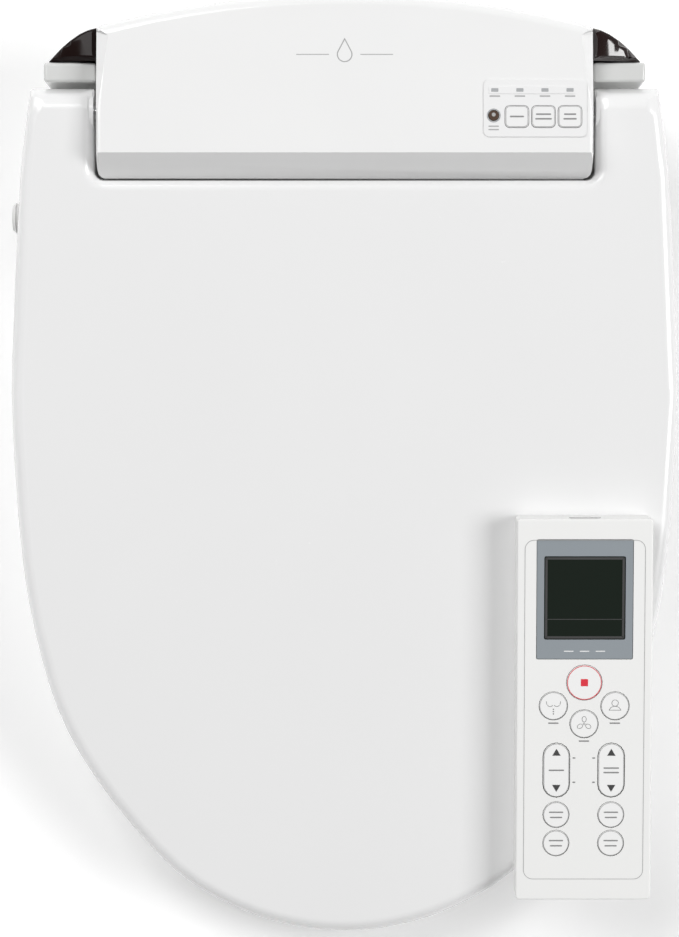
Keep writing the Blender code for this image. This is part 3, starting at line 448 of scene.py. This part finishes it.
# Painted shade: a darker copy of the gloss white for the base, standing in for the shade on its shoulders and
# sides.
BASE_SHADED_WHITE = Finish("base_white_painted_shade", (0.66, 0.665, 0.655), (0.62, 0.625, 0.615),
                    Sheen.POLISHED.value + 0.04,
                    coat=0.3, peel=300, bump=0.02)
SENSOR = Finish("sensor_bronze", (0.11, 0.07, 0.05), (0.05, 0.035, 0.03), 0.12, coat=0.8)
LAMP = Finish("lamp_frosted_grey", (0.42, 0.43, 0.44), (0.36, 0.37, 0.38), 0.3, coat=0.4, peel=2200)
BEZEL_GREY = Finish("bezel_satin_grey", (0.29, 0.32, 0.345), (0.27, 0.30, 0.325), 0.32, peel=1600,
                    bump=0.08)
DISPLAY = Finish("display_window", (0.012, 0.017, 0.013), (0.014, 0.019, 0.015), 0.1, specular=0.12,
                 coat=0.05,
                 peel=900, bump=0.004, handling=0.02)
INK_GREY = Finish("ink_grey", (0.27, 0.27, 0.27), (0.24, 0.24, 0.24), 0.45, peel=2600)
INK_PALE = Finish("ink_pale", (0.40, 0.40, 0.40), (0.37, 0.37, 0.37), 0.45, peel=2600)
INK_DARK = Finish("ink_dark", (0.045, 0.045, 0.045), (0.06, 0.06, 0.06), 0.45, peel=2600)
INK_RED = Finish("ink_red", (0.72, 0.035, 0.06), (0.66, 0.03, 0.05), 0.42, peel=2600)
RUBBER = Finish("pale_rubber", (0.62, 0.62, 0.61), (0.54, 0.54, 0.53), 0.75, peel=700, bump=0.25,
                handling=0.15)
STEEL = Finish("satin_steel", (0.62, 0.62, 0.63), (0.52, 0.52, 0.53), 0.26, metallic=1.0, peel=1200,
               bump=0.12)
DARK = Finish("dark_moulding", (0.03, 0.03, 0.033), (0.045, 0.045, 0.05), Sheen.MATTE.value, peel=800,
              bump=0.2)
GREY = Finish("grey_moulding", (0.33, 0.35, 0.37), (0.29, 0.31, 0.33), Sheen.SATIN.value, peel=800,
              bump=0.1)
BOARD = Finish("board_solder_green", (0.015, 0.12, 0.045), (0.02, 0.16, 0.06), 0.4, coat=0.4, peel=1500,
               bump=0.2)
FLOOR = Finish("pale_floor", (0.93, 0.93, 0.93), (0.92, 0.92, 0.92), 0.9, peel=30, bump=0.01, glow=0.18)

FINISH_OF_SLOT = {"white_gloss": GLOSS_WHITE, "lid_white": LID_WHITE, "seat_white": SEAT_WHITE,
                  "panel_film": PANEL_FILM, "key_white": KEY_WHITE, "fitting_white": FITTING_WHITE,
                  "smoked_lens": SMOKED, "sensor_window": SENSOR, "lamp_grey": LAMP, "bezel_grey": BEZEL_GREY,
                  "display_dark": DISPLAY, "rubber": RUBBER, "steel": STEEL, "dark_plastic": DARK,
                  "grey_plastic": GREY, "board_green": BOARD}

# base_chassis takes the darker painted-shade copy of the gloss white.
# corner_lens_left takes the smoked copy without reflection, a painted shade.
FINISH_OF_NODE = {"base_chassis": BASE_SHADED_WHITE, "corner_lens_left": SMOKED_UNLIT,
                  "indicator_lamps": PANEL_FILM, "remote_front_shell": REMOTE_WHITE,
                  "remote_back_shell": REMOTE_WHITE, "battery_cover": REMOTE_WHITE}


# Sub-assemblies -----------------------------------------------------------------------------

@dataclass
class Casework:
    """Base, housing, smoked corners, seat and lid: smooth copies of the CAD shells."""

    edges: dict[str, float] = field(default_factory=lambda: {
        "lid_shell": 0.5 * MM, "top_cover": 0.5 * MM, "base_chassis": 0.5 * MM,
        "seat_upper_shell": 0.4 * MM, "seat_lower_shell": 0.5 * MM, "corner_lens_left": 0.5 * MM,
        "corner_lens_right": 0.5 * MM, "mounting_plate": 0.5 * MM, "release_button": 0.3 * MM,
        "cord_gland": 0.3 * MM, "water_inlet": 0.12 * MM,
        "panel_overlay": 0.1 * MM, "light_sensor": 0.2 * MM, "dryer_flap": 0.2 * MM,
        "remote_front_shell": 0.3 * MM, "remote_back_shell": 0.3 * MM, "battery_cover": 0.2 * MM,
        "remote_bezel": 0.12 * MM, "remote_display": 0.1 * MM})
    plain_edge: float = 0.25 * MM

    def build(self) -> None:
        """Dress every CAD node, and put a smooth copy in the place of the visible ones."""
        for node, source in frame["nodes"].items():
            look = FINISH_OF_NODE.get(node, FINISH_OF_SLOT[slot_of(node)]).material()
            source.data.materials.clear()
            source.data.materials.append(look)
            edge = self.edges.get(node, self.plain_edge)
            dress(finished_copy(node, edge), look, body_of(node))


@dataclass
class HousingDetails:
    """Printed marks of the control panel, the drop emblem and the vents at the back."""

    ink: float = 0.08 * MM
    line: float = 0.22 * MM
    rear_curve: float = 0.12 / 0.14
    vent_count: int = 9
    vent_pitch: float = 9 * MM
    vent_size: Point = (4 * MM, 16 * MM)
    vent_middle: Point = (60 * MM, 34 * MM)

    def build(self) -> None:
        """Model the housing's small pieces in order."""
        self.lamps()
        self.button_marks()
        self.emblem()
        self.vents()

    def lamps(self) -> None:
        """Four frosted lamp windows on the light guide, with a mark under each."""
        low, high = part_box("indicator_lamps")
        top, middle = high.z, (low.y + high.y) / 2
        width, count = 4.0 * MM, 4
        pitch = (high.x - low.x - 2.4 * MM * 2) / (count - 1)
        lenses, marks = [], []
        film_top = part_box("panel_overlay")[1].z
        for index in range(count):
            x = low.x + 2.4 * MM + pitch * index
            outline = round_box((x, middle), (width, 2.0 * MM), 0.3 * MM, 3)
            lenses.append(plate(f"lamp_lens_{index}", outline, top, top + 0.25 * MM, Matrix(),
                                edge=0.08 * MM))
            marks.append(bar(f"lamp_mark_{index}", (x - 2.6 * MM, middle - 3.4 * MM),
                             (x + 2.6 * MM, middle - 3.4 * MM), 0.8 * MM, film_top, film_top + self.ink,
                             Matrix()))
        size = (high.x - low.x + 1.6 * MM, high.y - low.y + 1.6 * MM)
        film = plate("lamp_film", round_box(((low.x + high.x) / 2, middle), size, 0.6 * MM, 3),
                     film_top - 0.1 * MM, top + 0.12 * MM, Matrix(), edge=0.05 * MM)
        dress(film, PANEL_FILM.material(), "base")
        dress(join_up("lamp_lenses", lenses), LAMP.material(), "base")
        dress(join_up("lamp_marks", marks), INK_PALE.material(), "base")

    def button_marks(self) -> None:
        """Grey outline and two short strokes on each panel button."""
        for node, strokes in (("panel_button_light", (7.0,)), ("panel_button_saver", (7.6, 8.4)),
                              ("panel_button_stop", (6.0, 6.6))):
            low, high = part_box(node)
            centre = ((low.x + high.x) / 2, (low.y + high.y) / 2)
            size = (high.x - low.x - 0.8 * MM, high.y - low.y - 0.8 * MM)
            made = [plate(node + "_outline", round_box(centre, size, 2.2 * MM), high.z, high.z + self.ink,
                          Matrix(), line=self.line)]
            for row, length in enumerate(strokes):
                y = centre[1] + ((len(strokes) - 1) / 2 - row) * 2.6 * MM
                made.append(bar(f"{node}_stroke_{row}", (centre[0] - length * MM / 2, y),
                                (centre[0] + length * MM / 2, y), 0.9 * MM, high.z, high.z + self.ink,
                                Matrix()))
            dress(join_up(node + "_marks", made), INK_GREY.material(), body_of(node))
        low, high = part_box("light_sensor")
        film_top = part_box("panel_overlay")[1].z
        middle = ((low.x + high.x) / 2, (low.y + high.y) / 2)
        rim = plate("sensor_rim", ring_points(middle, 3.9 * MM), film_top, film_top + 0.15 * MM, Matrix(),
                    edge=0.04 * MM, line=0.6 * MM)
        dress(rim, LAMP.material(), "base")
        pupil = plate("sensor_pupil", ring_points((middle[0], middle[1] + 0.5 * MM), 1.1 * MM, 24), high.z,
                      high.z + 0.15 * MM, Matrix(), edge=0.05 * MM)
        dress(pupil, INK_PALE.material(), "base")
        strokes = [bar(f"sensor_stroke_{row}", (middle[0] - 2.6 * MM, middle[1] - (6.0 + 1.9 * row) * MM),
                       (middle[0] + 2.6 * MM, middle[1] - (6.0 + 1.9 * row) * MM), 0.7 * MM, film_top,
                       film_top + self.ink, Matrix()) for row in range(2)]
        dress(join_up("sensor_marks", strokes), INK_PALE.material(), "base")

    def emblem(self) -> None:
        """Plain drop between two thin lines, at the middle of the housing."""
        low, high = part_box("top_cover")
        x, y = (low.x + high.x) / 2, low.y + 0.66 * (high.y - low.y)
        top = high.z
        drop = arc((x, y), 4.4 * MM, -215, 35, 20) + [(x, y + 9.4 * MM)]
        made = [plate("emblem_drop", drop, top, top + self.ink, Matrix(), line=0.6 * MM)]
        for side in (-1, 1):
            made.append(bar(f"emblem_line_{side + 1}", (x + side * 9 * MM, y), (x + side * 27 * MM, y),
                            0.45 * MM, top, top + self.ink, Matrix()))
        dress(join_up("housing_emblem", made), INK_PALE.material(), "base")

    def vents(self) -> None:
        """Row of raised louvres that follows the bowed back of the base."""
        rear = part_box("base_chassis")[1].y
        stand = Matrix.Rotation(math.radians(-90), 4, 'X')
        made = []
        for index in range(self.vent_count):
            x = self.vent_middle[0] + (index - self.vent_count // 2) * self.vent_pitch
            depth = rear - self.rear_curve * x * x
            plan = round_box((x, 0.0), self.vent_size, 1.9 * MM)
            turn = Matrix.Translation((0, depth + 0.1 * MM, self.vent_middle[1])) @ stand
            made.append(plate(f"vent_{index}", plan, -1.2 * MM, 0.6 * MM, turn, edge=0.3 * MM))
        dress(join_up("rear_vents", made), GREY.material(), "base")


@dataclass
class RemoteDetails:
    """Printed and raised details of the remote control, laid out from its own CAD pieces."""

    ink: float = 0.06 * MM
    line: float = 0.24 * MM
    place: Matrix = field(default_factory=Matrix)

    def __post_init__(self) -> None:
        """Find the remote's own frame: turned to the lid's slope, centred on its face."""
        lift = next(j for j in frame["joints"] if j["name"] == "remote_lift")
        _, ny, nz = lift["axis"]
        turn = Matrix.Rotation(math.atan2(-ny, nz), 4, 'X')
        low, high = self.span("remote_front_shell", turn)
        self.place = turn @ Matrix.Translation(((low.x + high.x) / 2, (low.y + high.y) / 2, high.z))

    @staticmethod
    def span(node: str, place: Matrix) -> tuple[Vector, Vector]:
        """Return a node's lowest and highest corners in a turned frame.

        Args:
            node: the CAD node's name.
            place: matrix from the turned frame to the world.

        Returns:
            The two corners, in the turned frame.
        """
        back = place.inverted()
        points = [back @ v.co for v in frame["nodes"][node].data.vertices]
        return (Vector([min(p[i] for p in points) for i in range(3)]),
                Vector([max(p[i] for p in points) for i in range(3)]))

    def centre(self, node: str) -> tuple[Point, Point, float]:
        """Return a node's plan centre, its half sizes and its top in the remote's frame."""
        low, high = self.span(node, self.place)
        middle, half = (low + high) / 2, (high - low) / 2
        return (middle.x, middle.y), (half.x, half.y), high.z

    def build(self) -> None:
        """Model the remote's small pieces in order."""
        self.face()
        self.screen()
        self.stop_key()
        self.wash_keys()
        self.dry_key()
        self.rockers()
        self.small_keys()

    def flat(self, name: str, outline: Sequence[Point], top: float, line: float = 0.0) -> bpy.types.Object:
        """Print a shape on a surface of the remote."""
        return plate(name, outline, top, top + self.ink, self.place, line=line)

    def stroke(self, name: str, start: Point, end: Point, width: float, top: float) -> bpy.types.Object:
        """Print a straight stroke on a surface of the remote."""
        return bar(name, start, end, width, top, top + self.ink, self.place)

    def captions(self, name: str, spots: Iterable[tuple[float, float, float]], body: str, top: float,
                 width: float = 0.8 * MM) -> None:
        """Print short plain strokes where a key would have its caption.

        Args:
            name: the joined piece's name.
            spots: each stroke's middle and length.
            body: the CAD body that they ride on.
            top: height of the surface under them, in the remote's frame.
            width: the strokes' width.
        """
        made = [self.stroke(f"{name}_{i}", (x - length / 2, y), (x + length / 2, y), width, top)
                for i, (x, y, length) in enumerate(spots)]
        dress(join_up(name, made), INK_GREY.material(), body)

    def face(self) -> None:
        """Fine line round the faceplate and the send window at the head of the remote."""
        _, half, _ = self.centre("remote_front_shell")
        size = (2 * half[0] - 8.6 * MM, 2 * half[1] - 24 * MM)
        frame_line = plate("faceplate_line", round_box((0.0, 0.0), size, 5.4 * MM, 10), 0.0, 0.12 * MM,
                           self.place, line=0.32 * MM)
        dress(frame_line, INK_PALE.material(), "remote")
        head = self.place @ Matrix.Translation((0, half[1], -5.5 * MM))
        window = plate("send_window", round_box((0.0, 0.0), (18 * MM, 5 * MM), 1.5 * MM), -0.2 * MM,
                       0.25 * MM, head @ Matrix.Rotation(math.radians(-90), 4, 'X'), edge=0.1 * MM)
        dress(window, SMOKED.material(), "remote")

    def screen(self) -> None:
        """Border, divider and plain strokes of the display's bezel."""
        centre, half, top = self.centre("remote_display")
        level, reach = centre[1] - 0.52 * half[1], half[0] - 1.0 * MM
        size = (2 * half[0] - 0.6 * MM, 2 * half[1] - 0.6 * MM)
        made = [self.stroke("display_divider", (centre[0] - reach, level), (centre[0] + reach, level),
                            0.4 * MM, top),
                self.flat("display_border", round_box(centre, size, 0.7 * MM), top, line=1.3 * MM)]
        dress(join_up("display_lines", made), INK_DARK.material(), "remote")
        bezel, reach, rim = self.centre("remote_bezel")
        y = bezel[1] - reach[1] + 4.4 * MM
        strokes = [self.stroke(f"bezel_stroke_{i}", (x - 2.5 * MM, y), (x + 2.5 * MM, y), 0.5 * MM, rim)
                   for i, x in enumerate(bezel[0] + (i - 1) * 9 * MM for i in range(3))]
        dress(join_up("bezel_strokes", strokes), KEY_WHITE.material(), "remote")

    def stop_key(self) -> None:
        """Red ring and red square of the stop key."""
        centre, half, top = self.centre("key_stop")
        made = [self.flat("stop_ring", ring_points(centre, half[0] - 0.3 * MM), top, line=0.42 * MM),
                self.flat("stop_square", round_box(centre, (4.1 * MM, 4.1 * MM), 0.2 * MM, 2), top)]
        dress(join_up("stop_marks", made), INK_RED.material(), "key_stop")

    def ring(self, node: str) -> bpy.types.Object:
        """Print the fine outline on a round key."""
        centre, half, top = self.centre(node)
        return self.flat(node + "_ring", ring_points(centre, half[0] - 0.25 * MM), top, line=self.line)

    def wash_keys(self) -> None:
        """Spray marks on the rear key, and head and shoulders on the front key."""
        (x, y), _, top = self.centre("key_rear_wash")
        made = [self.ring("key_rear_wash")]
        for side in (-1, 1):
            cheek = arc((x + side * 1.9 * MM, y + 1.4 * MM), 1.9 * MM, -150, -30, 8)
            inner = arc((x + side * 1.9 * MM, y + 1.4 * MM), 1.55 * MM, -30, -150, 8)
            made.append(self.flat(f"cheek_{side + 1}", cheek + inner, top))
            made.append(self.stroke(f"thigh_{side + 1}", (x + side * 3.7 * MM, y + 0.9 * MM),
                                    (x + side * 4.1 * MM, y + 2.6 * MM), 0.34 * MM, top))
        for row in range(3):
            spot = (x, y - (1.9 + 1.3 * row) * MM)
            made.append(self.flat(f"drop_{row}", ring_points(spot, 0.42 * MM, 16), top))
        dress(join_up("rear_wash_marks", made), INK_GREY.material(), "key_rear_wash")
        (x, y), _, top = self.centre("key_front_wash")
        made = [self.ring("key_front_wash"),
                self.flat("head", ring_points((x, y + 1.7 * MM), 2.0 * MM, 32), top, line=0.34 * MM)]
        outer = arc((x, y - 3.6 * MM), 3.7 * MM, 20, 160, 14)
        inner = arc((x, y - 3.6 * MM), 3.35 * MM, 160, 20, 14)
        made.append(self.flat("shoulders", outer + inner, top))
        made.append(self.stroke("shoulder_base", (x - 3.3 * MM, y - 2.4 * MM), (x + 3.3 * MM, y - 2.4 * MM),
                                0.34 * MM, top))
        dress(join_up("front_wash_marks", made), INK_GREY.material(), "key_front_wash")
        face_top = self.centre("remote_front_shell")[2]
        spots = []
        for node in ("key_rear_wash", "key_front_wash", "key_dry"):
            (x, y), half, _ = self.centre(node)
            spots.append((x, y - half[1] - 1.9 * MM, 5.2 * MM))
        self.captions("wash_captions", spots, "remote", face_top)

    def dry_key(self) -> None:
        """Three fan blades round a hub on the dryer key."""
        centre, _, top = self.centre("key_dry")
        made = [self.ring("key_dry"),
                self.flat("fan_hub", ring_points(centre, 0.7 * MM, 20), top, line=0.28 * MM)]
        for blade in range(3):
            turn = math.radians(90 + 120 * blade)
            outline = []
            for x, y in ring_points((0.0, 0.0), 1.0, 28):
                px, py = 2.7 * MM + 1.75 * MM * x, 1.35 * MM * y
                outline.append((centre[0] + px * math.cos(turn) - py * math.sin(turn),
                                centre[1] + px * math.sin(turn) + py * math.cos(turn)))
            made.append(self.flat(f"blade_{blade}", outline, top, line=0.32 * MM))
        dress(join_up("dry_marks", made), INK_GREY.material(), "key_dry")

    def rockers(self) -> None:
        """Outline, arrows and centre strokes of the two rocker keys, and their end marks."""
        face_top = self.centre("remote_front_shell")[2]
        spots = []
        for node, side in (("rocker_nozzle", 1), ("rocker_water_dry", -1)):
            (x, y), half, top = self.centre(node)
            radius = half[0] - 0.25 * MM
            made = [self.flat(node + "_line", round_box((x, y), (2 * radius, 2 * half[1] - 0.5 * MM),
                                                        radius - 0.01 * MM, 16), top, line=self.line)]
            strokes = (0.0,) if side > 0 else (1.3 * MM, -1.3 * MM)
            for row, lift in enumerate(strokes):
                made.append(self.stroke(f"{node}_stroke_{row}", (x - 4.0 * MM, y + lift),
                                        (x + 4.0 * MM, y + lift), 0.85 * MM, top))
            dress(join_up(node + "_marks", made), INK_GREY.material(), body_of(node))
            arrows = []
            for sign in (-1, 1):
                tip, foot = y + sign * 12.4 * MM, y + sign * 8.4 * MM
                corners = [(x - 2.4 * MM, foot), (x + 2.4 * MM, foot), (x, tip)][::sign]
                arrows.append(self.flat(f"{node}_arrow_{sign + 1}", corners, top))
            dress(join_up(node + "_arrows", arrows), INK_DARK.material(), body_of(node))
            for lift in (7.0 * MM, -7.0 * MM):
                spots.append((x + side * (half[0] + 2.6 * MM), y + lift, 0.9 * MM))
        self.captions("rocker_end_marks", spots, "remote", face_top)

    def small_keys(self) -> None:
        """Two strokes on each of the four function keys."""
        for node in ("key_wash_dry", "key_seat_temp", "key_easy_wash", "key_water_temp"):
            (x, y), _, top = self.centre(node)
            made = [self.ring(node)]
            for row, length in enumerate((7.4 * MM, 6.2 * MM)):
                level = y + (0.5 - row) * 3.0 * MM
                made.append(self.stroke(f"{node}_stroke_{row}", (x - length / 2, level),
                                        (x + length / 2, level), 0.8 * MM, top))
            dress(join_up(node + "_marks", made), INK_GREY.material(), body_of(node))


@dataclass
class Studio:
    """Pale floor, soft lights and the camera above the seat."""

    view_centre: tuple[float, float] = (-2.9 * MM, -202.6 * MM)
    view_height: float = 0.537
    plane: float = 80 * MM
    lens: float = 120.0
    sensor: float = 36.0
    horizon: float = 0.6
    zenith: float = 0.05
    floor_size: float = 8.0
    floor_drop: float = 0.5 * MM
    lights: tuple[tuple[str, Spot, float, float], ...] = (("key_light", (-2.0, 2.0, 4.0), 2.8, 160.0),
                                                          ("fill_light", (3.2, -0.2, 3.3), 1.9, 104.0))

    def build(self) -> None:
        """Set the floor, the world, the lights and the camera."""
        self.floor()
        self.world()
        bpy.context.scene.view_settings.view_transform = 'Standard'
        for name, spot, size, power in self.lights:
            self.light(name, spot, size, power)
        self.camera()

    def floor(self) -> None:
        """Large pale floor under the object."""
        clear_selection()
        under = (0, 0, CAD_BOX[0][2] - self.floor_drop)
        bpy.ops.mesh.primitive_plane_add(size=self.floor_size, location=under)
        floor = bpy.context.object
        floor.name = "pale_floor"
        floor.data.materials.append(FLOOR.material())

    def world(self) -> None:
        """Pale surroundings, dimmer overhead, so that gloss doesn't veil the dark pieces."""
        world = bpy.data.worlds.new("studio")
        bpy.context.scene.world = world
        world.use_nodes = True
        nodes, links = world.node_tree.nodes, world.node_tree.links
        place, split = nodes.new("ShaderNodeTexCoord"), nodes.new("ShaderNodeSeparateXYZ")
        ramp = nodes.new("ShaderNodeMapRange")
        ramp.inputs["To Min"].default_value = self.horizon
        ramp.inputs["To Max"].default_value = self.zenith
        links.new(place.outputs["Generated"], split.inputs["Vector"])
        links.new(split.outputs["Z"], ramp.inputs["Value"])
        links.new(ramp.outputs["Result"], nodes["Background"].inputs["Strength"])
        nodes["Background"].inputs["Color"].default_value = (1, 1, 1, 1)

    def light(self, name: str, spot: Spot, size: float, power: float) -> None:
        """Add one square soft light that faces the middle of the seat.

        Args:
            name: the light's name.
            spot: where it stands, in metres.
            size: the side of its square, in metres.
            power: its power, in watts.
        """
        clear_selection()
        bpy.ops.object.light_add(type='AREA', location=spot)
        lamp = bpy.context.object
        lamp.name = name
        lamp.data.size = size
        lamp.data.energy = power
        aim = Vector((self.view_centre[0], self.view_centre[1], self.plane)) - Vector(spot)
        lamp.rotation_euler = aim.to_track_quat('-Z', 'Y').to_euler()

    def camera(self) -> None:
        """Look straight down on the seat, with its front at the foot of the picture."""
        clear_selection()
        distance = self.lens / self.sensor * self.view_height
        bpy.ops.object.camera_add(location=(*self.view_centre, self.plane + distance), rotation=(0, 0, 0))
        camera = bpy.context.object
        camera.data.lens = self.lens
        camera.data.sensor_width = self.sensor
        bpy.context.scene.camera = camera


def main() -> None:
    """Build every sub-assembly."""
    logging.basicConfig(level=logging.INFO, format="%(name)s: %(message)s")
    Studio().build()
    Casework().build()
    HousingDetails().build()
    RemoteDetails().build()


if __name__ == "__main__":
    main()
